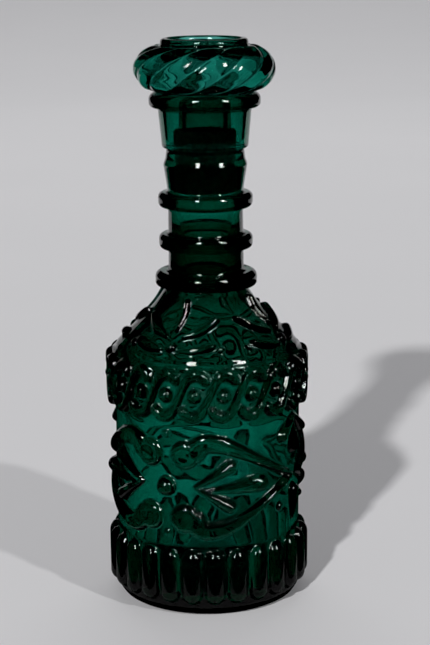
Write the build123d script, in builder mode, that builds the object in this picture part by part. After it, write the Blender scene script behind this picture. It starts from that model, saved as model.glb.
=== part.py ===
from build123d import *
import os
from math import cos, radians, sin

# A stoppered decanter of mould-blown glass: the bottle, a hollow swirled stopper, and the cork
# sleeve on the stopper's shank. Millimetres; the origin is on the table under the bottle's axis,
# +Z is up, and angles round the axis are counted from the front, -Y, towards +X.

# Driving dimensions of the bottle
BODY_RADIUS = 46.7            # plain wall between the flutes and the scroll band
FLUTED_RADIUS = 47.3          # wall in the grooves between the flutes
BAND_RADIUS = 48.4            # ground of the scroll band
NECK_RADIUS = 18.6
BULGE_RADIUS = 20.3           # the neck's swelling over its upper half
COLLAR_NARROW = 21.3          # the collar under the lip, at its bottom
COLLAR_WIDE = 23.3            # and at its top
LIP_RADIUS = 27.6
INNER_RADIUS = 42.6           # inside of the body
BORE_RADIUS = 15.55           # inside of the neck, where the cork seats
BORE_THROAT = 10.3            # inside of the neck, between its two lower rings
RELIEF = 2.9                  # how far the ornament stands proud

FOOT_OUTER = 41.5             # bearing ring that the bottle stands on
FOOT_INNER = 36.0
PUSH_UP = 4.5                 # hollow under the base
FLOOR_HEIGHT = 9.0            # inside floor, at its middle
HEEL_HEIGHT = 10.0
FLUTES_TOP = 34.0
BAND_BOTTOM = 101.5
BAND_TOP = 125.0
SHOULDER_BOTTOM = 129.0
SHOULDER_TOP = 157.0
SHOULDER_WIDE = 46.9          # the shoulder's cone, at its bottom
SHOULDER_NARROW = 21.3        # and at its top
BULGE_BOTTOM = 208.0
BULGE_MIDDLE = 218.5
BULGE_TOP = 228.0
COLLAR_BOTTOM = 229.5
LIP_BOTTOM = 249.0
LIP_HEIGHT = 256.0            # top of the pouring lip, and the seat of the stopper
THROAT_BOTTOM = 165.0         # the neck's bore is narrowest from here
THROAT_TOP = 178.0            # to here
CORK_SEAT_BOTTOM = 203.0      # the neck's bore is parallel from here
CORK_SEAT_TOP = 227.0         # to here, where it opens into the mouth
MOUTH_NARROW = 18.2           # inside of the mouth, at its bottom
MOUTH_WIDE = 19.8             # and at the lip

# Height, centre line radius and section of the three rings round the neck
NECK_RINGS = ((163.4, 21.3, 4.2), (182.1, 19.9, 3.6), (202.9, 20.0, 3.6))

# Ornament
FLUTES = 26
FLUTE_ANGLE = 3.7             # one of the flutes
FLUTE_SECTION = 5.4
FLUTE_REACH = 50.7            # radius of the flutes' ridges
FLUTE_LOW = 12.0              # centres of a flute's two round ends
FLUTE_HIGH = 30.0
BAND_CELLS = 21
BAND_MIDDLE = 114.0
BEAD_ANGLE = 9.6              # one bead of the band
BEAD_RADIUS = 3.8
SCROLL_SECTION = 2.6
BOSS_ANGLE = -25.5            # one of the two bosses; the ornament repeats every half turn
PANEL_MIDDLE = 67.5           # height of the middle of the ornament on the body
HEART_SECTION = 2.8
BOSS_SPHERE = 5.2
BOSS_RISE = 3.8
SMALL_BEAD = 2.4
SMALL_RISE = 1.7
SPRAY_BEADS = (74.5, 105.5)   # turns, from a boss, of the beads beside a spray
FANS = 4                      # fans of leaves on the shoulder
FAN_BASE = 134.0
SHOULDER_BEAD = 2.6
SHOULDER_BEAD_DEPTH = 1.6     # centre of such a bead, inside the shoulder's surface
SHOULDER_BEAD_TURNS = (-34.5, 0, 34.5)
LEAF_TIP = 1.0
LEAF_HEAD = 3.4

# Stopper and cork
TOTAL_HEIGHT = 282.0
KNOB_RADIUS = 35.2
KNOB_MIDDLE = 267.0
KNOB_WAIST = 24.3
CROWN_RADIUS = 19.4           # centre line of the ring round the top of the knob
CROWN_SECTION = 2.1
DISH_EDGE = 279.0             # top of the knob inside that ring, at its edge
DISH_MIDDLE = 277.5
DISH_WALL = 3.2               # glass under the middle of the dish
SHANK_RADIUS = 13.0
SHANK_BORE = 9.5
SHANK_BOTTOM = 204.0
KNOB_WALL = 2.6
SWIRLS = 12
SWIRL_SECTION = 3.4
SWIRL_RISE = 1.5              # how far the swirls stand out of the knob
SWIRL_LEAN = 26.0             # degrees that a swirl turns on each side of the knob's middle
CORK_BOTTOM = 207.0
CORK_TOP = 238.0
RUNNING_CLEARANCE = 0.05      # radial, cork to neck and cork to shank
SEAT_GAP = 0.05               # stopper to lip


def around(radius, angle, height):
    """A point at an angle in degrees from the front, towards +X."""
    return (radius * sin(radians(angle)), -radius * cos(radians(angle)), height)


def shoulder_radius(height):
    """Radius of the shoulder's cone at a height."""
    share = (height - SHOULDER_BOTTOM) / (SHOULDER_TOP - SHOULDER_BOTTOM)
    return SHOULDER_WIDE + share * (SHOULDER_NARROW - SHOULDER_WIDE)


def tangent_radii(points):
    """The largest arcs that leave each run of a path a straight piece."""
    corners = [Vector(*point) for point in points]
    radii = []
    for before, corner, after in zip(corners, corners[1:], corners[2:]):
        first_run = corner - before
        second_run = after - corner
        half_turn = radians(first_run.get_angle(second_run) / 2)
        radii.append(0.45 * min(first_run.length, second_run.length) * cos(half_turn) / sin(half_turn))
    return radii


def teardrop(points, tip_radius, head_radius):
    """A lobe that swells from a pointed tip, through its middle, to a round head."""
    corners = [Vector(*point) for point in points]
    middle_radius = (tip_radius + head_radius) / 2
    radii = (tip_radius, middle_radius, head_radius)
    with BuildPart() as drop:
        for start, end, start_radius, end_radius in zip(corners, corners[1:], radii, radii[1:]):
            run = end - start
            with Locations(Plane(origin=start, z_dir=run).location):
                Cone(start_radius, end_radius, run.length, align=(Align.CENTER, Align.CENTER, Align.MIN))
        with Locations(corners[1]):
            Sphere(middle_radius)
        with Locations(corners[2]):
            Sphere(head_radius)
    return drop.part


# --- Ornament that repeats, each made once at its own place ---------------------------------------

# One scroll of the band: it hooks under one bead, leans up between two, and hooks over the next.
# Its outline is a half, from the middle to the end of the upper hook, in angle and rise.
half_scroll = [(0, 0), (3.2, 8.0), (6.5, 10.3), (12.5, 10.0), (15.2, 7.5)]
scroll_outline = [(-turn, -rise) for turn, rise in reversed(half_scroll[1:])] + half_scroll[1:]
scroll_depth = BAND_RADIUS + RELIEF - SCROLL_SECTION
scroll_angle = BEAD_ANGLE + 180 / BAND_CELLS
scroll_route = [
    around(scroll_depth, scroll_angle + turn, BAND_MIDDLE + rise) for turn, rise in scroll_outline
]
with BuildPart() as scroll:
    with BuildLine() as wave:
        FilletPolyline(*scroll_route, radius=tangent_radii(scroll_route))
    with BuildSketch(Plane(origin=wave.line @ 0, z_dir=wave.line % 0)):
        Circle(SCROLL_SECTION)
    sweep()
    with Locations(scroll_route[0], scroll_route[-1]):
        Sphere(SCROLL_SECTION)

# One stroke of a heart: a round head beside the boss, and a tail that runs out to the heart's tip
heart_outline = [(11.5, 16.5), (22, 21.5), (36, 21), (51, 17), (66, 11), (77, 5), (86, -2)]
heart_route = [around(BODY_RADIUS, BOSS_ANGLE + turn, PANEL_MIDDLE + rise) for turn, rise in heart_outline]
head_width, head_rise = 7.2, 2.6
head_radius = (head_width**2 + head_rise**2) / (2 * head_rise)
head_turn, head_height = heart_outline[0]
head_place = around(BODY_RADIUS + head_rise - head_radius, BOSS_ANGLE + head_turn, PANEL_MIDDLE + head_height)
with BuildPart() as heart_stroke:
    with BuildLine() as route:
        FilletPolyline(*heart_route, radius=tangent_radii(heart_route))
    with BuildSketch(Plane(origin=route.line @ 0, z_dir=route.line % 0)):
        Circle(HEART_SECTION)
    sweep()
    with Locations(head_place):
        Sphere(head_radius)

panel_plane = Plane.XY.offset(PANEL_MIDDLE)
boss_plane = Plane(origin=(0, 0, 0), x_dir=around(1, BOSS_ANGLE, 0), z_dir=around(1, BOSS_ANGLE + 90, 0))

# Lobes on the body, as turn and rise of tip and of head: three that spread inside each heart,
# and between two hearts three that hang and one that stands
lobe_lines = [(18, 0, 38, 10.5), (26, -1, 58, -0.5), (18, -1, 38, -10.5)]
spray_lines = [(90, 27, 90, 15), (88, 29, 77, 21), (90, -24, 90, -9.5)]
body_lobes = []
for tip_turn, tip_rise, head_turn, head_rise in lobe_lines + spray_lines:
    line = [
        around(BODY_RADIUS - sunk, BOSS_ANGLE + turn, PANEL_MIDDLE + rise)
        for turn, rise, sunk in (
            (tip_turn, tip_rise, 0.0),
            ((tip_turn + head_turn) / 2, (tip_rise + head_rise) / 2, 0.5),
            (head_turn, head_rise, 1.0),
        )
    ]
    body_lobes.append(teardrop(line, LEAF_TIP, LEAF_HEAD))

# One fan of the shoulder: an upright leaf, and two leaves low on each side of it
leaf_lines = [(0, 9, 0, 17)]
for side in (1, -1):
    leaf_lines.append((side * 8, 5.5, side * 33, 12))
    leaf_lines.append((side * 8, 0, side * 28, 1.5))
fan_leaves = []
for tip_turn, tip_rise, head_turn, head_rise in leaf_lines:
    line = [
        around(shoulder_radius(FAN_BASE + rise) - sunk, BOSS_ANGLE + turn, FAN_BASE + rise)
        for turn, rise, sunk in (
            (tip_turn, tip_rise, 0.0),
            ((tip_turn + head_turn) / 2, (tip_rise + head_rise) / 2, 0.4),
            (head_turn, head_rise, 0.9),
        )
    ]
    fan_leaves.append(teardrop(line, LEAF_TIP, LEAF_HEAD))

# One swirl of the knob: an arc over its side, leaning forwards as it climbs
with BuildPart() as swirl:
    with BuildLine() as lean:
        ThreePointArc(
            around(23.5, -SWIRL_LEAN, KNOB_MIDDLE - 7.0),
            around(KNOB_RADIUS - SWIRL_SECTION, 0, KNOB_MIDDLE),
            around(20.0, SWIRL_LEAN, KNOB_MIDDLE + 9.0),
        )
    with BuildSketch(Plane(origin=lean.line @ 0, z_dir=lean.line % 0)):
        Circle(SWIRL_SECTION)
    sweep()


# --- Bottle ---------------------------------------------------------------------------------------

lip_section = (LIP_HEIGHT - LIP_BOTTOM) / 2
lip_centre = LIP_RADIUS - lip_section
lip_middle = LIP_BOTTOM + lip_section

with BuildPart() as bottle:
    # Outside, from the hollow under the base to the top of the lip
    with BuildSketch(Plane.XZ):
        with BuildLine():
            ThreePointArc((0, PUSH_UP), (FOOT_INNER / 2, PUSH_UP * 0.8), (FOOT_INNER, 0))
            Line((FOOT_INNER, 0), (FOOT_OUTER, 0))
            ThreePointArc((FOOT_OUTER, 0), (45.8, 3.0), (FLUTED_RADIUS, HEEL_HEIGHT))
            Line((FLUTED_RADIUS, HEEL_HEIGHT), (FLUTED_RADIUS, FLUTES_TOP))
            Line((FLUTED_RADIUS, FLUTES_TOP), (BODY_RADIUS, FLUTES_TOP + 2))
            Line((BODY_RADIUS, FLUTES_TOP + 2), (BODY_RADIUS, BAND_BOTTOM - 4))
            Line((BODY_RADIUS, BAND_BOTTOM - 4), (BAND_RADIUS, BAND_BOTTOM))
            Line((BAND_RADIUS, BAND_BOTTOM), (BAND_RADIUS, BAND_TOP))
            Line((BAND_RADIUS, BAND_TOP), (BAND_RADIUS, BAND_TOP + 2))
            Line((BAND_RADIUS, BAND_TOP + 2), (SHOULDER_WIDE, SHOULDER_BOTTOM))
            Line((SHOULDER_WIDE, SHOULDER_BOTTOM), (SHOULDER_NARROW, SHOULDER_TOP))
            Line((SHOULDER_NARROW, SHOULDER_TOP), (NECK_RADIUS, SHOULDER_TOP + 3))
            Line((NECK_RADIUS, SHOULDER_TOP + 3), (NECK_RADIUS, BULGE_BOTTOM))
            ThreePointArc((NECK_RADIUS, BULGE_BOTTOM), (BULGE_RADIUS, BULGE_MIDDLE), (19.2, BULGE_TOP))
            Line((19.2, BULGE_TOP), (COLLAR_NARROW, COLLAR_BOTTOM))
            Line((COLLAR_NARROW, COLLAR_BOTTOM), (COLLAR_WIDE, LIP_BOTTOM))
            Line((COLLAR_WIDE, LIP_BOTTOM), (lip_centre, LIP_BOTTOM))
            ThreePointArc((lip_centre, LIP_BOTTOM), (LIP_RADIUS, lip_middle), (lip_centre, LIP_HEIGHT))
            Line((lip_centre, LIP_HEIGHT), (0, LIP_HEIGHT))
            Line((0, LIP_HEIGHT), (0, PUSH_UP))
        make_face()
    revolve(axis=Axis.Z)

    for height, centre_line, section in NECK_RINGS:
        with Locations((0, 0, height)):
            Torus(centre_line, section)

    # Flutes of the foot: upright bars with round ends
    with PolarLocations(FLUTE_REACH - FLUTE_SECTION, FLUTES, start_angle=-90 + FLUTE_ANGLE):
        with Locations((0, 0, (FLUTE_LOW + FLUTE_HIGH) / 2)):
            Cylinder(FLUTE_SECTION, FLUTE_HIGH - FLUTE_LOW)
        with Locations((0, 0, FLUTE_LOW), (0, 0, FLUTE_HIGH)):
            Sphere(FLUTE_SECTION)

    # Scroll band: beads, with a scroll between each two
    with PolarLocations(BAND_RADIUS + RELIEF - BEAD_RADIUS, BAND_CELLS, start_angle=-90 + BEAD_ANGLE):
        with Locations((0, 0, BAND_MIDDLE)):
            Sphere(BEAD_RADIUS)
    with PolarLocations(0, BAND_CELLS):
        add(scroll.part)

    # Two large bosses with a small bead above and below each, and beads beside the sprays
    with PolarLocations(BODY_RADIUS + BOSS_RISE - BOSS_SPHERE, 2, start_angle=-90 + BOSS_ANGLE):
        with Locations((0, 0, PANEL_MIDDLE)):
            Sphere(BOSS_SPHERE)
    with PolarLocations(BODY_RADIUS + SMALL_RISE - SMALL_BEAD, 2, start_angle=-90 + BOSS_ANGLE):
        with Locations((0, 0, PANEL_MIDDLE - 24.5), (0, 0, PANEL_MIDDLE + 26.5)):
            Sphere(SMALL_BEAD)
    for turn in SPRAY_BEADS:
        with PolarLocations(BODY_RADIUS + SMALL_RISE - SMALL_BEAD, 2, start_angle=-90 + BOSS_ANGLE + turn):
            with Locations((0, 0, PANEL_MIDDLE - 15)):
                Sphere(SMALL_BEAD)

    # Hearts on both sides of both bosses, two strokes each, and the lobes in and between them
    lower_stroke = mirror(heart_stroke.part, about=panel_plane, mode=Mode.PRIVATE)
    for stroke in (heart_stroke.part, lower_stroke, *body_lobes):
        other_side = mirror(stroke, about=boss_plane, mode=Mode.PRIVATE)
        with PolarLocations(0, 2):
            add(stroke)
            add(other_side)

    # Fans of leaves on the shoulder, with a bead under each and two beads between two fans
    with PolarLocations(0, FANS):
        for leaf in fan_leaves:
            add(leaf)
    bead_height = FAN_BASE + 1.5
    bead_centre = shoulder_radius(bead_height) - SHOULDER_BEAD_DEPTH
    for turn in SHOULDER_BEAD_TURNS:
        with PolarLocations(bead_centre, FANS, start_angle=-90 + BOSS_ANGLE + turn):
            with Locations((0, 0, bead_height)):
                Sphere(SHOULDER_BEAD)

    # Inside, from the floor to the lip
    with BuildSketch(Plane.XZ):
        with BuildLine():
            Line((0, FLOOR_HEIGHT), (36.6, 7.3))
            ThreePointArc((36.6, 7.3), (40.9, 9.1), (INNER_RADIUS, 13.3))
            Line((INNER_RADIUS, 13.3), (INNER_RADIUS, 121))
            ThreePointArc((INNER_RADIUS, 121), (42.0, 124.8), (40.0, 128))
            Line((40.0, 128), (12.0, SHOULDER_TOP))
            Line((12.0, SHOULDER_TOP), (BORE_THROAT, THROAT_BOTTOM))
            Line((BORE_THROAT, THROAT_BOTTOM), (BORE_THROAT, THROAT_TOP))
            ThreePointArc((BORE_THROAT, THROAT_TOP), (13.8, 190.0), (BORE_RADIUS, CORK_SEAT_BOTTOM))
            Line((BORE_RADIUS, CORK_SEAT_BOTTOM), (BORE_RADIUS, CORK_SEAT_TOP))
            Line((BORE_RADIUS, CORK_SEAT_TOP), (MOUTH_NARROW, CORK_SEAT_TOP + 3.0))
            Line((MOUTH_NARROW, CORK_SEAT_TOP + 3.0), (MOUTH_WIDE, LIP_HEIGHT))
            Line((MOUTH_WIDE, LIP_HEIGHT), (0, LIP_HEIGHT))
            Line((0, LIP_HEIGHT), (0, FLOOR_HEIGHT))
        make_face()
    revolve(axis=Axis.Z, mode=Mode.SUBTRACT)

bottle.part.label = "bottle"


# --- Stopper --------------------------------------------------------------------------------------

with BuildPart() as stopper:
    with BuildSketch(Plane.XZ):
        seat = LIP_HEIGHT + SEAT_GAP
        ground = KNOB_RADIUS - SWIRL_RISE
        with BuildLine():
            Line((0, SHANK_BOTTOM), (SHANK_RADIUS, SHANK_BOTTOM))
            Line((SHANK_RADIUS, SHANK_BOTTOM), (SHANK_RADIUS, seat))
            Line((SHANK_RADIUS, seat), (KNOB_WAIST, seat))
            ThreePointArc((KNOB_WAIST, seat), (ground, KNOB_MIDDLE), (CROWN_RADIUS, DISH_EDGE))
            Line((CROWN_RADIUS, DISH_EDGE), (0, DISH_MIDDLE))
            Line((0, DISH_MIDDLE), (0, SHANK_BOTTOM))
        make_face()
    revolve(axis=Axis.Z)
    with Locations((0, 0, TOTAL_HEIGHT - CROWN_SECTION)):
        Torus(CROWN_RADIUS, CROWN_SECTION)
    with PolarLocations(0, SWIRLS):
        add(swirl.part)

    # The hollow: a squashed bulb that opens down through the shank
    with BuildSketch(Plane.XZ):
        bulb_bottom = seat + KNOB_WALL
        bulb_top = DISH_MIDDLE - DISH_WALL
        with BuildLine():
            Line((0, SHANK_BOTTOM), (SHANK_BORE, SHANK_BOTTOM))
            Line((SHANK_BORE, SHANK_BOTTOM), (SHANK_BORE, bulb_bottom))
            Line((SHANK_BORE, bulb_bottom), (KNOB_WAIST - KNOB_WALL, bulb_bottom))
            ThreePointArc(
                (KNOB_WAIST - KNOB_WALL, bulb_bottom),
                (ground - KNOB_WALL, KNOB_MIDDLE),
                (CROWN_RADIUS - 1.5, bulb_top + 0.9),
            )
            Line((CROWN_RADIUS - 1.5, bulb_top + 0.9), (0, bulb_top))
            Line((0, bulb_top), (0, SHANK_BOTTOM))
        make_face()
    revolve(axis=Axis.Z, mode=Mode.SUBTRACT)

stopper.part.label = "stopper"


# --- Cork sleeve ----------------------------------------------------------------------------------

with BuildPart() as cork_sleeve:
    with BuildSketch(Plane.XY.offset(CORK_BOTTOM)):
        Circle(BORE_RADIUS - RUNNING_CLEARANCE)
        Circle(SHANK_RADIUS + RUNNING_CLEARANCE, mode=Mode.SUBTRACT)
    extrude(amount=CORK_TOP - CORK_BOTTOM)
    outer_edges = cork_sleeve.edges().filter_by(GeomType.CIRCLE).group_by(SortBy.RADIUS)[-1]
    chamfer(outer_edges, length=0.8)

cork_sleeve.part.label = "cork_sleeve"


os.makedirs("parts", exist_ok=True)
export_step(bottle.part, "parts/bottle.step")
export_step(stopper.part, "parts/stopper.step")
export_step(cork_sleeve.part, "parts/cork_sleeve.step")
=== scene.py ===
"""A stoppered decanter of emerald-green mould-blown glass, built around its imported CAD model.

The decanter's sizes are in millimetres until its meshes are made, in metres, like the studio and the
camera. Angles are in degrees, counted round the axis from the front (-Y) towards +X.
"""
from math import cos, pi, radians, sin, tan

import bpy
import numpy as np
from mathutils import Matrix, Vector


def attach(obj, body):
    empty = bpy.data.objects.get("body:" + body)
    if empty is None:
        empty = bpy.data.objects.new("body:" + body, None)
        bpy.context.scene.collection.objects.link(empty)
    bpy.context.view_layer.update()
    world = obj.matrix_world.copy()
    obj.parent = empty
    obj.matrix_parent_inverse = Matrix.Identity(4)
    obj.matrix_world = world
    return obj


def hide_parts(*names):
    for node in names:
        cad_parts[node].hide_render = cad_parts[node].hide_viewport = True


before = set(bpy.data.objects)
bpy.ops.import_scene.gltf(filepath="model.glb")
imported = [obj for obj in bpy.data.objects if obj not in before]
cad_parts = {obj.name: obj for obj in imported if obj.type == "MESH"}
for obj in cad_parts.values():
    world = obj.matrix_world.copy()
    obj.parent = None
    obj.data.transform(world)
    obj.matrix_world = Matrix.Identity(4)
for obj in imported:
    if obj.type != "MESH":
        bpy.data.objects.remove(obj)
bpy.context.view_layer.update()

MM = 0.001
TINY = 1e-9                   # keeps a division away from zero

# Where the bottle's moulded ornament stands, and how often each part of it repeats
BOSS_ANGLE = -25.5            # one of the bosses, above which a fan stands too
PANEL_MIDDLE = 67.5           # height of the bosses, about which the hearts are mirrored
PANELS = 2                    # each is a boss with a heart on both sides
BAND_MIDDLE = 114.0           # height of the beads in the scroll band
BAND_CELLS = 21
BEAD_ANGLE = 9.6              # one of the band's beads
FLUTES = 26
FLUTE_ANGLE = 3.7             # one of the foot's flutes
FANS = 4

# The stopper's ornament
SWIRLS = 12
RAYS = 30


# --- Profiles -------------------------------------------------------------------------------------

ARC_STEPS = 12                # points along each rounded corner
SHORTEST_REACH = 1e-3         # a rounding that would be shorter is left out
LARGEST_SHARE = 0.499         # how much of a run a rounding may take at each end


def rounded(corners):
    """Points (radius, height) along a line whose corners (radius, height, rounding) are rounded."""
    places = [np.array(corner[:2], float) for corner in corners]
    points = [places[0]]
    for before, here, after, corner in zip(places, places[1:], places[2:], corners[1:]):
        arm_in, arm_out = before - here, after - here
        length_in, length_out = np.linalg.norm(arm_in), np.linalg.norm(arm_out)
        arm_in, arm_out = arm_in / length_in, arm_out / length_out
        half = np.arccos(np.clip(arm_in @ arm_out, -1, 1)) / 2
        reach = min(corner[2] / tan(half), LARGEST_SHARE * length_in, LARGEST_SHARE * length_out)
        if reach < SHORTEST_REACH:
            points.append(here)
            continue
        radius = reach * tan(half)
        middle = (arm_in + arm_out) / np.linalg.norm(arm_in + arm_out)
        centre = here + middle * radius / sin(half)
        start, end = here + arm_in * reach - centre, here + arm_out * reach - centre
        sweep = pi - 2 * half
        for k in range(ARC_STEPS + 1):
            t = k / ARC_STEPS
            weights = sin((1 - t) * sweep) / sin(sweep), sin(t * sweep) / sin(sweep)
            points.append(centre + weights[0] * start + weights[1] * end)
    points.append(places[-1])
    return np.array(points)


def run_lengths(points):
    """The distance along a line from its first point to each point."""
    return np.concatenate(([0], np.cumsum(np.linalg.norm(np.diff(points, axis=0), axis=1))))


def spaced(points, step):
    """The same line with points about one step apart."""
    along = run_lengths(points)
    count = max(2, int(round(along[-1] / step)) + 1)
    where = np.linspace(0, along[-1], count)
    return np.stack([np.interp(where, along, points[:, i]) for i in (0, 1)], axis=1)


def outward(profile):
    """Unit normals of a profile, on its right as it is followed, which is away from the glass."""
    run = np.gradient(profile, axis=0)
    run /= np.linalg.norm(run, axis=1)[:, None]
    return np.stack([run[:, 1], -run[:, 0]], axis=1)


# --- Relief ---------------------------------------------------------------------------------------

def wrapped(angle, period):
    """An angle brought to within half a period of zero."""
    return (angle + period / 2) % period - period / 2


def faded(values, zero, one):
    """0 up to one value, 1 from another one on, and a straight slope between the two."""
    return np.clip((values - zero) / (one - zero), 0, 1)


def softened(field, rows, columns):
    """A height field blurred by a number of rows and of columns; its columns go round the object."""
    for axis, width in ((0, rows), (1, columns)):
        reach = int(3 * width) + 1
        kernel = np.exp(-0.5 * (np.arange(-reach, reach + 1) / width) ** 2)
        kernel /= kernel.sum()
        mode = "edge" if axis == 0 else "wrap"
        pad = [(reach, reach) if axis == i else (0, 0) for i in (0, 1)]
        padded = np.pad(field, pad, mode=mode)
        size = field.shape[axis]
        parts = [np.take(padded, range(k, k + size), axis=axis) for k in range(2 * reach + 1)]
        field = sum(weight * part for weight, part in zip(kernel, parts))
    return field


def smooth_line(points, pieces=6):
    """Points on a smooth curve through the given ones, each of any number of values."""
    points = [np.array(point, float) for point in points]
    ends = [2 * points[0] - points[1]] + points + [2 * points[-1] - points[-2]]
    line = []
    for a, b, c, d in zip(ends, ends[1:], ends[2:], ends[3:]):
        for k in range(pieces):
            t = k / pieces
            line.append(
                0.5 * (2 * b + (c - a) * t + (2 * a - 5 * b + 4 * c - d) * t**2
                       + (3 * b - a - 3 * c + d) * t**3)
            )
    line.append(points[-1])
    return line


# A stroke's cross-section is (1 - share ** flat) ** power, with share from 0 at its middle line to
# 1 at its edge. Power 0.5 with flat 2 is half an ellipse.
SOFT, FULL = 0.55, 0.5                       # powers
DOMED, LEVELLED, FLAT = 2.0, 3.2, 4.5        # flats
MARGIN = 1                                   # rows this far beyond a stroke are worked out too


class Chart:
    """Millimetres across and along a profile, measured from an upright line on the object."""

    def __init__(self, profile, angles):
        self.radius = profile[:, 0]
        self.height = profile[:, 1]
        self.along = run_lengths(profile)
        self.field = np.zeros((len(profile), len(angles)))

    def place(self, angle, height):
        """Where a point at an angle from the upright line, and a height, lies on the chart."""
        radius = np.interp(height, self.height, self.radius)
        return radians(angle) * radius, np.interp(height, self.height, self.along)

    def stroke(self, points, turned, rise, fold_height=None, power=SOFT, flat=DOMED):
        """A raised stroke through points (angle, height, half-width), for columns at angles turned.

        rise is its height, or one for each end. fold_height mirrors it about that height too."""
        line = smooth_line(points) if len(points) > 2 else points
        rises = np.linspace(*rise, len(line)) if isinstance(rise, tuple) else [rise] * len(line)
        height = self.height
        along = self.along
        if fold_height is not None:
            height = fold_height + np.abs(height - fold_height)
            along = np.interp(height, self.height, self.along)
        across = np.radians(turned)[None, :] * self.radius[:, None]
        along = np.broadcast_to(along[:, None], across.shape)
        low = min(point[1] - point[2] for point in line) - MARGIN
        high = max(point[1] + point[2] for point in line) + MARGIN
        rows = np.nonzero((height > low) & (height < high))[0]
        first, last = rows.min(), rows.max() + 1
        across, along = across[first:last], along[first:last]
        best = np.zeros_like(across)
        for start, end, rise_a, rise_b in zip(line, line[1:], rises, rises[1:]):
            (u0, v0), (u1, v1) = self.place(start[0], start[1]), self.place(end[0], end[1])
            du, dv = u1 - u0, v1 - v0
            t = ((across - u0) * du + (along - v0) * dv) / (du * du + dv * dv + TINY)
            t = np.clip(t, 0, 1)
            off = np.hypot(across - u0 - t * du, along - v0 - t * dv)
            share = off / (start[2] + t * (end[2] - start[2]))
            lift = (rise_a + t * (rise_b - rise_a)) * np.clip(1 - share**flat, 0, 1) ** power
            best = np.maximum(best, lift)
        self.field[first:last] = np.maximum(self.field[first:last], best)

    def bead(self, angle, height, half_width, turned, rise, fold_height=None, power=SOFT, flat=DOMED):
        """A round bead, which is a stroke of almost no length."""
        ends = [(angle, height, half_width), (angle + 0.01, height, half_width)]
        self.stroke(ends, turned, rise, fold_height, power, flat)


# How far the main ornaments stand out of the wall
FLUTE_RISE = 4.1
BAND_BEAD_RISE = 4.1
SCROLL_RISE = 3.3
BOSS_RISE = 5.8
HEART_RISE = 3.1
CURL_RISE = 3.2


def add_flutes(chart, angles):
    """The upright flutes of the foot."""
    turned = wrapped(angles - FLUTE_ANGLE, 360 / FLUTES)
    chart.stroke([(0, 12.4, 5.2), (0, 29.8, 5.1)], turned, FLUTE_RISE, power=FULL)


def add_band(chart, angles):
    """The scroll band: beads, and scrolls that hook under one bead and over the next."""
    cell = 360 / BAND_CELLS
    turned = wrapped(angles - BEAD_ANGLE, cell)
    chart.bead(0, BAND_MIDDLE, 3.7, turned, BAND_BEAD_RISE, power=FULL)
    half = [
        (0, 0, 1.9), (2.6, 5, 2.0), (5.2, 9.0, 2.4), (10.0, 10.6, 2.8), (14.0, 9.0, 2.7), (15.3, 7.4, 2.2),
    ]
    scroll = [(-turn, BAND_MIDDLE - up, width) for turn, up, width in reversed(half[1:])]
    scroll += [(turn, BAND_MIDDLE + up, width) for turn, up, width in half]
    turned = wrapped(angles - BEAD_ANGLE - cell / 2, cell)
    for neighbour in (-cell, 0, cell):
        chart.stroke(scroll, turned + neighbour, SCROLL_RISE, power=FULL, flat=LEVELLED)


def add_panels(chart, angles):
    """The bosses, the lying hearts on both sides of each and the sprays between two hearts."""
    turned = np.abs(wrapped(angles - BOSS_ANGLE, 360 / PANELS))
    chart.bead(0, PANEL_MIDDLE, 4.9, turned, BOSS_RISE, power=FULL)
    chart.bead(0, PANEL_MIDDLE + 26.5, 2.1, turned, 1.7)
    chart.bead(0, PANEL_MIDDLE - 24.2, 1.8, turned, 1.5)

    # A heart: a fat comma and its mirror image below, which meet in the heart's point
    comma = [
        (17.5, 85.4, 5.6), (21, 88.6, 4.9), (26, 89.8, 4.7), (34, 88.8, 4.2), (41, 86.6, 3.6),
        (50, 82.8, 2.8), (58, 79.2, 2.3), (68, 74.6, 2.1), (77, 70.6, 1.9), (84, 67.8, 1.5),
    ]
    chart.stroke(comma, turned, HEART_RISE, PANEL_MIDDLE, flat=LEVELLED)
    chart.bead(11.5, 83.8, 7.2, turned, CURL_RISE, PANEL_MIDDLE, flat=FLAT)

    # Three lobes inside the heart
    outer_lobe = [(17.5, 67.3, 0.9), (26, 71.5, 1.8), (38.5, 77.8, 3.4)]
    middle_lobe = [(25.5, 65.6, 0.8), (40, 66.6, 2.6), (53, 67.6, 4.3), (58.5, 67.6, 4.4)]
    chart.stroke(outer_lobe, turned, (1.4, 4.1), PANEL_MIDDLE)
    chart.stroke(middle_lobe, turned, (1.2, 4.5))

    # Spray: three hanging lobes, a drop that stands below them and a bead on each side of it
    chart.stroke([(90, 97.2, 1.3), (84, 93.5, 2.2), (76.8, 88.6, 3.3)], turned, (1.6, 3.8))
    chart.stroke([(90, 92.5, 1.2), (90, 87, 3.4), (90, 82, 4.6)], turned, (1.4, 4.0))
    chart.stroke([(90, 43.5, 1.0), (90, 50, 2.6), (90, 57.3, 4.3)], turned, (1.2, 4.0))
    chart.bead(74.5, 52.6, 2.2, turned, 1.9)


def add_fans(chart, angles):
    """Fans of leaves on the shoulder, a bead under each, and two beads between two fans."""
    turned = np.abs(wrapped(angles - BOSS_ANGLE, 360 / FANS))
    chart.stroke([(0, 142.6, 1.2), (0, 149, 3.0), (0, 154.2, 2.4)], turned, (1.8, 2.8))
    chart.stroke([(7.5, 139.8, 1.2), (20, 142.6, 2.9), (33, 146.6, 2.6)], turned, (1.6, 2.9))
    chart.stroke([(7.5, 134.2, 1.2), (17, 134.9, 2.7), (28, 136.2, 2.6)], turned, (1.6, 2.7))
    chart.bead(0, 135.6, 3.0, turned, 2.4)
    chart.bead(34.6, 135.0, 2.0, turned, 1.8)


def bottle_relief(profile, angles):
    """Heights of the moulded ornament over the bottle's outside, in millimetres."""
    chart = Chart(profile, angles)
    add_flutes(chart, angles)
    add_band(chart, angles)
    add_panels(chart, angles)
    add_fans(chart, angles)
    return chart.field


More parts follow.
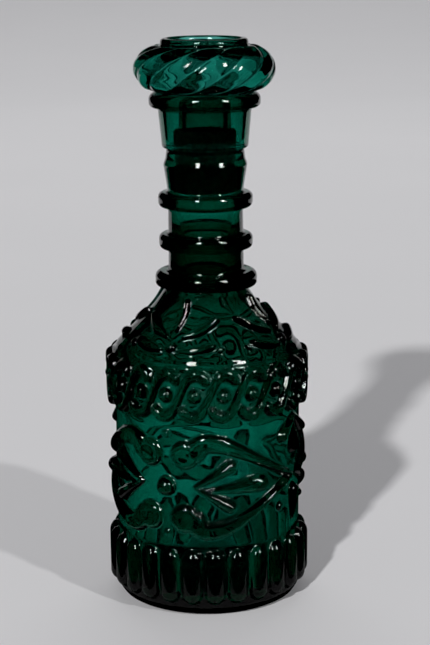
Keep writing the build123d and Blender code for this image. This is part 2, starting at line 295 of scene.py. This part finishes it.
# --- Meshes of revolution -------------------------------------------------------------------------

class Skin:
    """A closed surface built up ring by ring, from its first pole to its last."""

    def __init__(self, pole):
        self.points = [np.array([[0.0, 0.0, pole]])]
        self.quads, self.triangles = [], []
        self.total = 1
        self.last = np.array([0])

    def ring(self, points):
        """Adds a ring of points and the faces back to the last one.

        Either ring may have twice as many points as the other, and the last one may be a pole."""
        here = np.arange(len(points)) + self.total
        self.points.append(points)
        self.total += len(points)
        back, ahead = self.last, np.roll(self.last, -1)
        here_ahead = np.roll(here, -1)
        if len(back) == len(here):
            self.quads.append(np.stack([back, ahead, here_ahead, here], axis=1))
        elif len(back) == 1:
            self.triangles.append(np.stack([np.full(len(here), back[0]), here_ahead, here], axis=1))
        elif len(back) == 2 * len(here):
            middle, far = back[1::2], np.roll(back, -2)[0::2]
            self.triangles.append(np.stack([back[0::2], middle, here], axis=1))
            self.triangles.append(np.stack([middle, here_ahead, here], axis=1))
            self.triangles.append(np.stack([middle, far, here_ahead], axis=1))
        else:
            middle, far_here = here[1::2], np.roll(here, -2)[0::2]
            self.triangles.append(np.stack([back, middle, here[0::2]], axis=1))
            self.triangles.append(np.stack([back, ahead, middle], axis=1))
            self.triangles.append(np.stack([ahead, far_here, middle], axis=1))
        self.last = here

    def rings(self, profile, count, relief=None):
        """Adds a ring at each point of a profile, moved out by the relief, in rows and columns."""
        angles = np.radians(np.arange(count) * 360 / count)
        normals = outward(profile)
        for i, (radius, height) in enumerate(profile):
            lift = 0 if relief is None else relief[i]
            around = radius + normals[i, 0] * lift
            up = height + normals[i, 1] * lift
            places = np.broadcast_arrays(around * np.sin(angles), -around * np.cos(angles), up)
            self.ring(np.stack(places, axis=1))

    def close(self, pole):
        """Ends the surface in a pole."""
        self.points.append(np.array([[0.0, 0.0, pole]]))
        ahead = np.roll(self.last, -1)
        self.triangles.append(np.stack([self.last, ahead, np.full(len(ahead), self.total)], axis=1))

    def object(self, name):
        """The surface as a smooth-shaded mesh object."""
        points = np.concatenate(self.points) * MM
        quads = np.concatenate(self.quads)
        triangles = np.concatenate(self.triangles)
        corners = np.concatenate([quads.ravel(), triangles.ravel()]).astype(np.int32)
        sizes = np.concatenate([np.full(len(quads), 4), np.full(len(triangles), 3)])
        starts = np.concatenate(([0], np.cumsum(sizes)[:-1])).astype(np.int32)
        mesh = bpy.data.meshes.new(name)
        mesh.vertices.add(len(points))
        mesh.loops.add(len(corners))
        mesh.polygons.add(len(sizes))
        mesh.vertices.foreach_set("co", points.ravel())
        mesh.loops.foreach_set("vertex_index", corners)
        mesh.polygons.foreach_set("loop_start", starts)
        mesh.polygons.foreach_set("use_smooth", np.ones(len(sizes), bool))
        mesh.update(calc_edges=True)
        mesh.validate()
        made = bpy.data.objects.new(name, mesh)
        bpy.context.scene.collection.objects.link(made)
        return made


# The slow waves of a blown wall: share, waves round the object, height of one radian, start
WAVES = ((1.0, 2, 19, 0.6), (0.8, 3, -13, 2.1), (0.6, 5, 8.5, 4.0), (0.5, 7, -6.1, 1.2))


def waviness(profile, angles, size):
    """The slow unevenness of a blown wall, in millimetres."""
    turn = np.radians(angles)[None, :]
    height = profile[:, 1][:, None]
    waves = sum(share * np.sin(count * turn + height / run + phase) for share, count, run, phase in WAVES)
    return size * waves / sum(share for share, count, run, phase in WAVES)


# --- Bottle ---------------------------------------------------------------------------------------

FINE, COARSE = 720, 360       # columns round the ornament, and round the rest of the bottle
BASE_STEP, FINE_STEP, NECK_STEP, INNER_STEP = 1.2, 0.45, 0.7, 1.5        # from ring to ring
RELIEF_BLUR = 0.7, 0.7        # rows and columns by which the ornament's edges are softened
WALL_BLUR = 8.0, 9.0          # the same for the ornament that the inside of the wall follows
WALL_FOLLOW = 0.2             # how much of that ornament shows inside
NECK_WAVES, WALL_WAVES = 0.12, 0.16          # most unevenness of the neck and of the inside
NECK_CALM_BELOW, NECK_CALM_ABOVE = (165, 175), (244, 232)      # heights between which it fades
WALL_CALM_BELOW = (12, 22)
PUSH_UP = 4.5                 # height of the middle of the underside
FLOOR_MIDDLE = 9.0            # height of the middle of the inside's floor

# Profiles: radius, height and rounding of each corner
BASE_PROFILE = [(4, 4.4, 0), (18, 3.6, 30), (33, 1.2, 10), (37, 0.0, 2), (40.5, 0.0, 2.5), (44.5, 1.6, 5)]
BODY_PROFILE = [
    (44.5, 1.6, 0), (46.6, 4.6, 6), (47.0, 12.0, 10), (47.0, 33.6, 2.5), (46.4, 36.5, 3), (46.6, 60, 60),
    (46.6, 97.5, 12), (47.7, 102.0, 12), (48.0, 127.4, 1.0), (46.4, 128.8, 1.0),
    (45.6, 130.6, 6), (26.2, 149.8, 60), (21.4, 157.0, 5), (18.9, 159.0, 2.4),
]
NECK_PROFILE = [
    (18.9, 159.0, 0), (18.9, 159.2, 0), (21.0, 159.4, 0.6), (25.5, 159.6, 3.2), (25.5, 167.4, 3.2),
    (18.9, 167.0, 1.2), (18.7, 178.6, 1.2), (23.4, 178.6, 3.0), (23.4, 185.8, 3.0), (18.7, 185.8, 1.2),
    (18.6, 199.2, 1.2), (23.5, 199.4, 3.0), (23.5, 206.6, 3.0), (18.7, 206.6, 1.2), (19.0, 209, 8),
    (20.8, 220.4, 2.2), (19.8, 223.2, 3), (19.2, 228.0, 1.5), (21.4, 229.2, 0.8), (22.2, 238.0, 20),
    (23.2, 248.6, 1.2), (27.6, 248.6, 3.4), (27.6, 256.0, 3.6), (19.8, 256.0, 1.8), (19.4, 250.0, 0),
]
BORE_PROFILE = [
    (19.4, 250.0, 0), (18.2, 230.5, 3), (15.55, 227.0, 2), (15.55, 203.0, 12), (13.8, 190.0, 20),
    (10.3, 178.0, 10), (10.3, 165.0, 10), (12.0, 157.0, 6),
]
INSIDE_PROFILE = [
    (12.0, 157.0, 0), (26.4, 142.2, 30), (40.2, 127.6, 8), (42.6, 121.0, 6), (42.6, 60, 60),
    (42.6, 7.3, 5.5), (24.0, 7.3, 30), (5.0, 8.9, 0),
]


def neck_waviness(profile, angles):
    """Unevenness of the neck's outside, which dies out towards the shoulder and the lip."""
    height = profile[:, 1]
    fade = faded(height, *NECK_CALM_BELOW) * faded(height, *NECK_CALM_ABOVE)
    return waviness(profile, angles, NECK_WAVES) * fade[:, None]


def wall_unevenness(profile, angles, body, relief):
    """How the inside of the wall follows the body's ornament softly, and its own unevenness."""
    height = profile[:, 1]
    rows = np.interp(height, body[:, 1], np.arange(len(body)))
    lower = np.floor(rows).astype(int).clip(0, len(body) - 2)
    share = (rows - lower)[:, None]
    soft = softened(relief, *WALL_BLUR)[:, ::FINE // COARSE]
    followed = (1 - share) * soft[lower] + share * soft[lower + 1]
    uneven = -WALL_FOLLOW * followed - waviness(profile, angles, WALL_WAVES)
    return uneven * faded(height, *WALL_CALM_BELOW)[:, None]


def make_bottle():
    """The bottle: moulded outside, and an inside that follows the ornament softly."""
    fine = np.arange(FINE) * 360 / FINE
    coarse = np.arange(COARSE) * 360 / COARSE
    base = spaced(rounded(BASE_PROFILE), BASE_STEP)[:-1]
    body = spaced(rounded(BODY_PROFILE), FINE_STEP)
    neck = spaced(rounded(NECK_PROFILE), NECK_STEP)[1:]
    bore = spaced(rounded(BORE_PROFILE), INNER_STEP)[1:]
    inside = spaced(rounded(INSIDE_PROFILE), INNER_STEP)[1:]
    relief = softened(bottle_relief(body, fine), *RELIEF_BLUR)

    skin = Skin(PUSH_UP)
    skin.rings(base, COARSE)
    skin.rings(body, FINE, relief)
    skin.rings(neck, COARSE, neck_waviness(neck, coarse))
    skin.rings(bore, COARSE)
    skin.rings(inside, COARSE, wall_unevenness(inside, coarse, body, relief))
    skin.close(FLOOR_MIDDLE)
    return skin.object("bottle_glass")


# --- Stopper --------------------------------------------------------------------------------------

KNOB_FINE, KNOB_COARSE = 384, 192      # columns round the knob, and round the shank and the inside
KNOB_STEP, SHANK_STEP = 0.5, 0.9             # from ring to ring
KNOB_BLUR, BULB_BLUR = (0.8, 1.2), (3.0, 6.0)
BULB_FOLLOW = 0.05                           # how much of the swirls shows inside the knob
SWIRL_TWIST = 74                             # how far a lobe turns round the knob on its way up
SWIRL_RISE, RAY_RISE = 1.4, 0.55
SWIRL_INNER, SWIRL_BOTTOM = 21.7, 256.2      # the swirls lie outside this radius and above this height
SWIRL_ENDS, SWIRL_END_POWER = (0.14, 0.12), 0.7        # shares of the way up where a lobe tapers
SWIRL_FLAT, SWIRL_POWER = 2.2, 0.8                     # a lobe's cross-section, as for a stroke
RAYS_INNER, RAYS_OUTER = (3, 6), (17, 15)              # radii between which the rays fade
BULB_BOTTOM = 260                            # below this height the inside is smooth
BULB_TOP, DISH_MIDDLE = 274.8, 277.9         # heights on the axis

SHANK_PROFILE = [
    (9.5, 204.9, 0), (9.5, 204.0, 1.2), (13.0, 204.0, 1.6), (13.0, 256.05, 1.0), (22.6, 256.05, 0),
]
KNOB_PROFILE = [
    (22.6, 256.05, 0), (24.4, 256.05, 1.0), (26.8, 257.8, 3), (31.4, 260.8, 12), (33.6, 265.6, 8),
    (33.6, 270.4, 8), (30.4, 274.6, 12), (24.6, 277.6, 10), (21.6, 278.4, 1.2), (21.6, 281.9, 1.7),
    (18.2, 282.0, 1.4), (17.2, 279.0, 2.4), (10.0, 277.6, 20), (3.0, DISH_MIDDLE, 0),
]
BULB_PROFILE = [
    (3.0, BULB_TOP, 0), (18.6, 275.0, 8), (28.4, 273.2, 6), (31.3, 267.6, 6), (28.6, 261.0, 6),
    (22.4, 258.8, 4), (9.5, 258.8, 3), (9.5, 204.9, 0),
]


def knob_relief(profile, angles):
    """The knob's swirled lobes, and the rays in the dish on its top."""
    radius, height = profile[:, 0], profile[:, 1]
    along = run_lengths(profile)
    side = along[(radius > SWIRL_INNER) & (height > SWIRL_BOTTOM)]
    share = ((along - side[0]) / (side[-1] - side[0]))[:, None]
    turned = angles[None, :] - SWIRL_TWIST * share
    across = wrapped(turned, 360 / SWIRLS) / (180 / SWIRLS)
    ends = np.minimum(faded(share, 0, SWIRL_ENDS[0]), faded(1 - share, 0, SWIRL_ENDS[1]))
    lobes = (1 - np.abs(across) ** SWIRL_FLAT) ** SWIRL_POWER * ends**SWIRL_END_POWER
    rays = 0.5 - 0.5 * np.cos(np.radians(angles[None, :]) * RAYS)
    in_dish = faded(radius, *RAYS_INNER) * faded(radius, *RAYS_OUTER)
    return SWIRL_RISE * lobes + RAY_RISE * rays * in_dish[:, None]


def make_stopper():
    """The hollow stopper: knob, dished top and open shank."""
    angles = np.arange(KNOB_FINE) * 360 / KNOB_FINE
    knob = spaced(rounded(KNOB_PROFILE), KNOB_STEP)
    bulb = spaced(rounded(BULB_PROFILE), SHANK_STEP)
    shank = spaced(rounded(SHANK_PROFILE), SHANK_STEP)[1:-1]
    relief = softened(knob_relief(knob, angles), *KNOB_BLUR)
    soft = softened(relief, *BULB_BLUR)[:, ::KNOB_FINE // KNOB_COARSE]
    nearest = [int(np.argmin(np.hypot(*(knob - point).T))) for point in bulb]
    followed = -BULB_FOLLOW * soft[nearest] * (bulb[:, 1] > BULB_BOTTOM)[:, None]

    skin = Skin(BULB_TOP)
    skin.rings(bulb, KNOB_COARSE, followed)
    skin.rings(shank, KNOB_COARSE)
    skin.rings(knob, KNOB_FINE, relief)
    skin.close(DISH_MIDDLE)
    return skin.object("stopper_glass")


# --- Materials ------------------------------------------------------------------------------------

def node_tree(name):
    """A new material, its nodes, their links and its shader."""
    material = bpy.data.materials.new(name)
    material.use_nodes = True
    nodes = material.node_tree.nodes
    return material, nodes, material.node_tree.links, nodes["Principled BSDF"]


def noise(nodes, links, scale, detail=3.0, stretch=(1, 1, 1)):
    """A noise texture in object space, for its Fac output."""
    place = nodes.new("ShaderNodeTexCoord")
    mapping = nodes.new("ShaderNodeMapping")
    mapping.inputs["Scale"].default_value = stretch
    texture = nodes.new("ShaderNodeTexNoise")
    texture.inputs["Scale"].default_value = scale
    texture.inputs["Detail"].default_value = detail
    links.new(place.outputs["Object"], mapping.inputs["Vector"])
    links.new(mapping.outputs["Vector"], texture.inputs["Vector"])
    return texture.outputs["Fac"]


def two_tone(nodes, links, shader, factor, dark, light, places=(0, 1)):
    """A base colour that runs from dark to light between two places of a factor."""
    ramp = nodes.new("ShaderNodeValToRGB")
    for element, colour, place in zip(ramp.color_ramp.elements, (dark, light), places):
        element.color = (*colour, 1)
        element.position = place
    links.new(factor, ramp.inputs["Fac"])
    links.new(ramp.outputs["Color"], shader.inputs["Base Color"])


def bumped(nodes, links, shader, height, strength, distance):
    """Small bumps in the surface, from a height; the distance is in metres."""
    bump = nodes.new("ShaderNodeBump")
    bump.inputs["Strength"].default_value = strength
    bump.inputs["Distance"].default_value = distance
    links.new(height, bump.inputs["Height"])
    links.new(bump.outputs["Normal"], shader.inputs["Normal"])


GLASS_DEPTH_COLOUR = (0.0, 0.726, 0.655)
BOTTLE_DENSITY, STOPPER_DENSITY = 800, 560        # how fast the colour deepens, per metre
CORK_DARK, CORK_LIGHT = (0.09, 0.05, 0.025), (0.40, 0.27, 0.14)
PAPER_DARK, PAPER_LIGHT = (0.775, 0.772, 0.785), (0.805, 0.80, 0.812)


def emerald_glass(name, density):
    """Fire-polished emerald glass: clear surface with a faint ripple, and colour in its depth."""
    material, nodes, links, shader = node_tree(name)
    shader.inputs["Base Color"].default_value = (1, 1, 1, 1)
    shader.inputs["Roughness"].default_value = 0.0
    shader.inputs["IOR"].default_value = 1.5
    shader.inputs["Transmission Weight"].default_value = 1.0
    ripple = noise(nodes, links, 70, 2.0, (1, 1, 0.6))
    bumped(nodes, links, shader, ripple, 0.25, 0.0004)
    depth = nodes.new("ShaderNodeVolumeAbsorption")
    depth.inputs["Color"].default_value = (*GLASS_DEPTH_COLOUR, 1)
    depth.inputs["Density"].default_value = density
    links.new(depth.outputs["Volume"], nodes["Material Output"].inputs["Volume"])
    return material


def cork_material():
    """Dark, wetted cork: brown granules with darker pores."""
    material, nodes, links, shader = node_tree("cork")
    grain = noise(nodes, links, 420, 6.0)
    two_tone(nodes, links, shader, grain, CORK_DARK, CORK_LIGHT, (0.35, 0.62))
    bumped(nodes, links, shader, grain, 0.6, 0.0005)
    shader.inputs["Roughness"].default_value = 0.85
    return material


def paper_material(name, share=1.0):
    """Matt paper of the studio sweep, at a share of its full paleness; a share below one is painted shade."""
    material, nodes, links, shader = node_tree(name)
    dark, light = ([value * share for value in tone] for tone in (PAPER_DARK, PAPER_LIGHT))
    two_tone(nodes, links, shader, noise(nodes, links, 3.0, 2.0), dark, light)
    shader.inputs["Roughness"].default_value = 1.0
    shader.inputs["Specular IOR Level"].default_value = 0.0
    return material


# --- Pieces ---------------------------------------------------------------------------------------

bottle = make_bottle()
bottle.data.materials.append(emerald_glass("bottle_glass", BOTTLE_DENSITY))
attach(bottle, "bottle")
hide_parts("bottle")

stopper = make_stopper()
stopper.data.materials.append(emerald_glass("stopper_glass", STOPPER_DENSITY))
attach(stopper, "stopper")
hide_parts("stopper")

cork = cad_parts["cork_sleeve"]
cork.data.materials.clear()
cork.data.materials.append(cork_material())


# --- Studio ---------------------------------------------------------------------------------------

# The paper lies flat round the object and curves up far behind it. In the glass, only a wedge of it
# shows, as in a studio with dark surroundings: the part beside and behind the object shows through
# the glass, and the part behind it in reflections too.
NEAR = 0.7                    # half the wedge's width beside the object, and its reach in front
SPREAD = 0.42                 # how fast the wedge widens behind the object
WIDE = 5.0                    # half the paper's width
FLAT_PLACES = (-NEAR, 0.0, NEAR, 1.2)        # depths of the flat part's edges
BEND_START, BEND_RADIUS, BEND_ANGLE, BEND_STEPS = 2.6, 8.0, 36, 24
TOP = 1.0                     # length of the straight part above the bend

# The ring of painted shade round the foot: its radii, its height and its share of the paper's paleness
RING_INNER, RING_OUTER, RING_LIFT, RING_SHADE_SHARE = 0.0495, 0.085, 0.0001, 0.25


def stage_object(name, points, faces, material):
    """A part of the studio, as an object that isn't a piece."""
    mesh = bpy.data.meshes.new(name)
    mesh.from_pydata(points, [], faces)
    made = bpy.data.objects.new(name, mesh)
    bpy.context.scene.collection.objects.link(made)
    made.data.materials.append(material)
    return made


def paper_sheet(name, line, in_gloss, in_glass):
    """A strip of the studio paper; line holds (depth, height, left, right) from front to back."""
    points = [(x, y, z) for y, z, left, right in line for x in (left, right)]
    faces = [(2 * i, 2 * i + 1, 2 * i + 3, 2 * i + 2) for i in range(len(line) - 1)]
    made = stage_object(name, points, faces, paper)
    made.data.polygons.foreach_set("use_smooth", np.ones(len(faces), bool))
    made.visible_glossy = in_gloss
    made.visible_transmission = in_glass


def shaded_foot_ring(name, count=72):
    """A ring of painted shade round the foot, which only shows as a reflection in the flutes."""
    turns = [2 * pi * k / count for k in range(count)]
    points = [
        (size * cos(turn), size * sin(turn), RING_LIFT) for size in (RING_INNER, RING_OUTER) for turn in turns
    ]
    faces = [(k, (k + 1) % count, (k + 1) % count + count, k + count) for k in range(count)]
    # Its paper is painted a quarter as pale, as painted shade under the object
    made = stage_object(name, points, faces, paper_material(name, RING_SHADE_SHARE))
    made.visible_camera = False
    made.visible_diffuse = False
    made.visible_transmission = False
    made.visible_shadow = False


def wedge(depth):
    """Half the width of the wedge at a depth behind the object."""
    return NEAR + SPREAD * max(depth, 0)


def sweep_line():
    """Depth and height of the paper from front to back."""
    line = [(depth, 0.0) for depth in FLAT_PLACES]
    for k in range(BEND_STEPS + 1):
        turn = radians(BEND_ANGLE) * k / BEND_STEPS
        line.append((BEND_START + BEND_RADIUS * sin(turn), BEND_RADIUS * (1 - cos(turn))))
    end_depth, end_height = line[-1]
    slope = radians(BEND_ANGLE)
    return line + [(end_depth + TOP * cos(slope), end_height + TOP * sin(slope))]


paper = paper_material("sweep_paper")
sweep = sweep_line()
paper_sheet("floor_near", [(y, z, -wedge(y), wedge(y)) for y, z in sweep[:3]], False, True)
paper_sheet("floor_behind", [(y, z, -wedge(y), wedge(y)) for y, z in sweep[2:]], True, True)
paper_sheet("floor_left", [(y, z, -WIDE, -wedge(y)) for y, z in sweep], False, False)
paper_sheet("floor_right", [(y, z, wedge(y), WIDE) for y, z in sweep], False, False)
paper_sheet("floor_front", [(-WIDE, 0, -WIDE, WIDE), (-NEAR, 0, -WIDE, WIDE)], False, False)
shaded_foot_ring("shaded_foot_ring")


def area_light(name, azimuth, elevation, distance, width, height, power, target=(0, 0, 0.12)):
    """A rectangular lamp that faces its target; azimuth is from the front towards +X."""
    lamp = bpy.data.lights.new(name, "AREA")
    lamp.shape = "RECTANGLE"
    lamp.size, lamp.size_y = width, height
    lamp.energy = power
    made = bpy.data.objects.new(name, lamp)
    a, e = radians(azimuth), radians(elevation)
    away = Vector((sin(a) * cos(e), -cos(a) * cos(e), sin(e)))
    made.location = Vector(target) + away * distance
    made.rotation_euler = away.to_track_quat("Z", "Y").to_euler()
    bpy.context.scene.collection.objects.link(made)
    return made


# Two small far lamps cast the two shadows. A near, higher panel at about the azimuth of each shows
# only as a highlight. A wide lamp lights the sweep behind the object.
LAMPS = (("key", -19.2, 28.9, 1040), ("fill", 42, 29, 420))        # azimuth, elevation and power
LAMP_DISTANCE, LAMP_SIZE = 12.0, 0.44
PANEL_SPREAD, PANEL_ELEVATION, PANEL_DISTANCE = 1.12, 36, 1.5
PANEL_WIDTH, PANEL_HEIGHT, PANEL_POWER = 0.26, 0.74, 12
OVERHEAD_AZIMUTH, OVERHEAD_ELEVATION, OVERHEAD_DISTANCE = 180, 80, 2.6
OVERHEAD_WIDTH, OVERHEAD_DEPTH, OVERHEAD_POWER = 3.0, 1.6, 22.5
OVERHEAD_TARGET = (0, 1.83, 0)
WORLD_COLOUR, WORLD_STRENGTH = (0.93, 0.93, 1.0, 1), 0.10

for name, azimuth, elevation, power in LAMPS:
    lamp = area_light(name, azimuth, elevation, LAMP_DISTANCE, LAMP_SIZE, LAMP_SIZE, power)
    lamp.visible_glossy = False
    panel = area_light(
        name + "_panel", azimuth * PANEL_SPREAD, PANEL_ELEVATION, PANEL_DISTANCE,
        PANEL_WIDTH, PANEL_HEIGHT, PANEL_POWER,
    )
    panel.visible_diffuse = False
    panel.visible_transmission = False
    panel.data.cycles.cast_shadow = False

overhead = area_light(
    "overhead", OVERHEAD_AZIMUTH, OVERHEAD_ELEVATION, OVERHEAD_DISTANCE,
    OVERHEAD_WIDTH, OVERHEAD_DEPTH, OVERHEAD_POWER, OVERHEAD_TARGET,
)
overhead.visible_glossy = False
overhead.visible_transmission = False

# A faint light from all round fills the shadows, and the glass doesn't show it
world = bpy.data.worlds.new("studio")
world.use_nodes = True
background = world.node_tree.nodes["Background"]
background.inputs["Color"].default_value = WORLD_COLOUR
background.inputs["Strength"].default_value = WORLD_STRENGTH
world.cycles_visibility.glossy = False
world.cycles_visibility.transmission = False

# Light passes many walls of glass before it comes out
scene = bpy.context.scene
scene.world = world
scene.view_settings.view_transform = "Standard"
scene.cycles.caustics_refractive = False
scene.cycles.caustics_reflective = False
scene.cycles.max_bounces = 32
scene.cycles.transmission_bounces = 32
scene.cycles.glossy_bounces = 8


# --- Camera ---------------------------------------------------------------------------------------

CAMERA_PLACE = (0.0, -0.886, 0.341)
CAMERA_PITCH, CAMERA_YAW, CAMERA_ROLL = 12.8, 0.272, -0.464
LENS, SENSOR = 100.5, 36

pitch, yaw, roll = (radians(angle) for angle in (CAMERA_PITCH, CAMERA_YAW, CAMERA_ROLL))
forward = Vector((sin(yaw) * cos(pitch), cos(yaw) * cos(pitch), -sin(pitch)))
level = forward.cross(Vector((0, 0, 1))).normalized()
upright = level.cross(forward)
right = cos(roll) * level + sin(roll) * upright
up = cos(roll) * upright - sin(roll) * level
camera_data = bpy.data.cameras.new("camera")
camera_data.lens = LENS
camera_data.sensor_width = SENSOR
camera = bpy.data.objects.new("camera", camera_data)
turned = Matrix((right, up, -forward)).transposed()
camera.matrix_world = Matrix.Translation(CAMERA_PLACE) @ turned.to_4x4()
scene.collection.objects.link(camera)
scene.camera = camera
